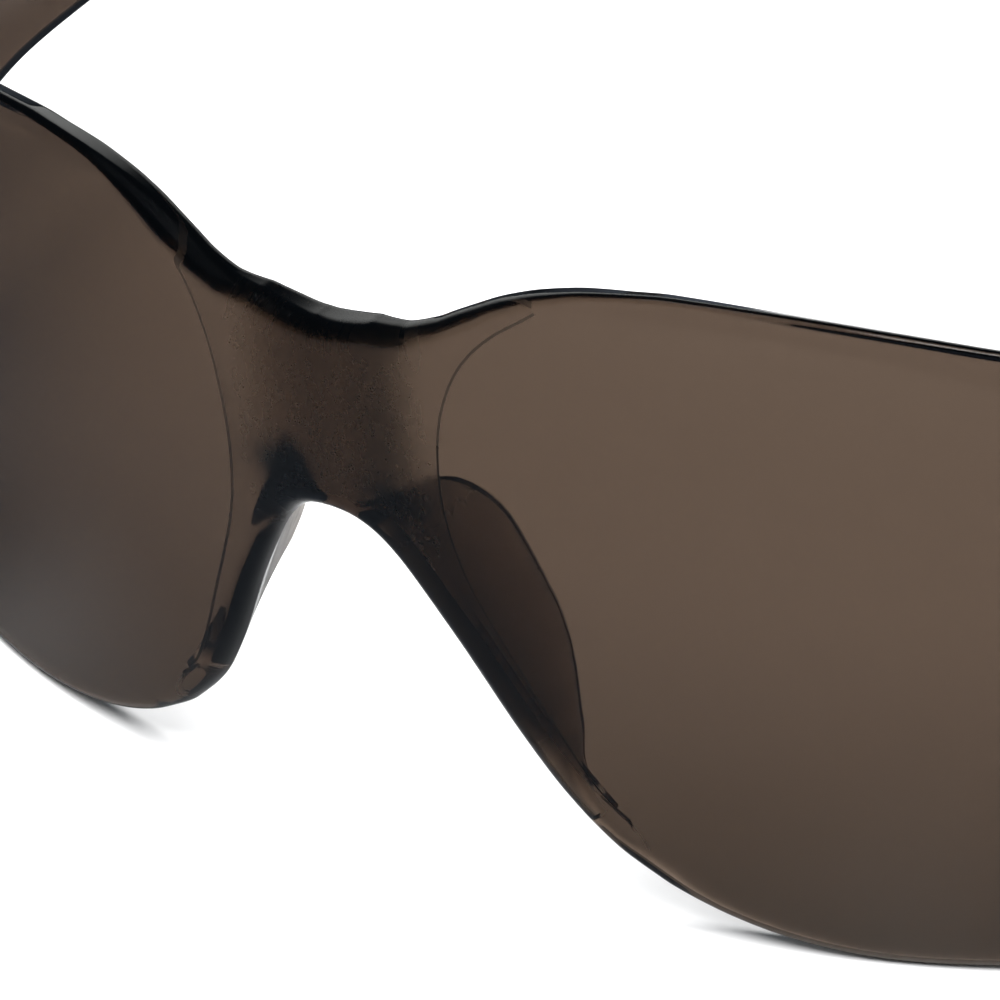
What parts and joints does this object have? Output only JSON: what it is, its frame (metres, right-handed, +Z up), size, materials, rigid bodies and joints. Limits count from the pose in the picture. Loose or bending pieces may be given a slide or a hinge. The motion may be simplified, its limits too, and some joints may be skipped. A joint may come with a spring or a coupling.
{
  "type": "safety glasses",
  "caption": "Wraparound safety glasses: one smoke-tinted lens moulded with bridge and nose wings, hinged folding arms with soft tips.",
  "frame": {"origin": "middle of the footprint on the resting plane, glasses open, lens edge and arm tips on the plane", "axes": "+Z up; the front of the lens faces -Y and the arms run back along +Y; +X is the wearer's left; mirror symmetric about X = 0"},
  "size_m": [0.1322, 0.1528, 0.0467],
  "materials": {
    "tinted_lens": "polished smoke-brown polycarbonate, see-through, satin on the back of the bridge",
    "tinted_arm": "polished smoke-brown polycarbonate, see-through",
    "soft_tip": "matt soft-touch thermoplastic elastomer",
    "screw_steel": "turned stainless steel"
  },
  "bodies": {
    "front": {"lens_shield": "tinted_lens", "hinge_screw_left": "screw_steel", "hinge_screw_right": "screw_steel"},
    "arm_left": {"temple_left": "tinted_arm", "temple_tip_left": "soft_tip"},
    "arm_right": {"temple_right": "tinted_arm", "temple_tip_right": "soft_tip"}
  },
  "joints": [
    {"name": "hinge_left", "type": "hinge", "parent": "front", "child": "arm_left", "pos_m": [0.05573, -0.03537, 0.02131], "axis": [0, 0, 1], "range_deg": [0, 86]},
    {"name": "hinge_right", "type": "hinge", "parent": "front", "child": "arm_right", "pos_m": [-0.05573, -0.03537, 0.02131], "axis": [0, 0, -1], "range_deg": [0, 94]}
  ]
}
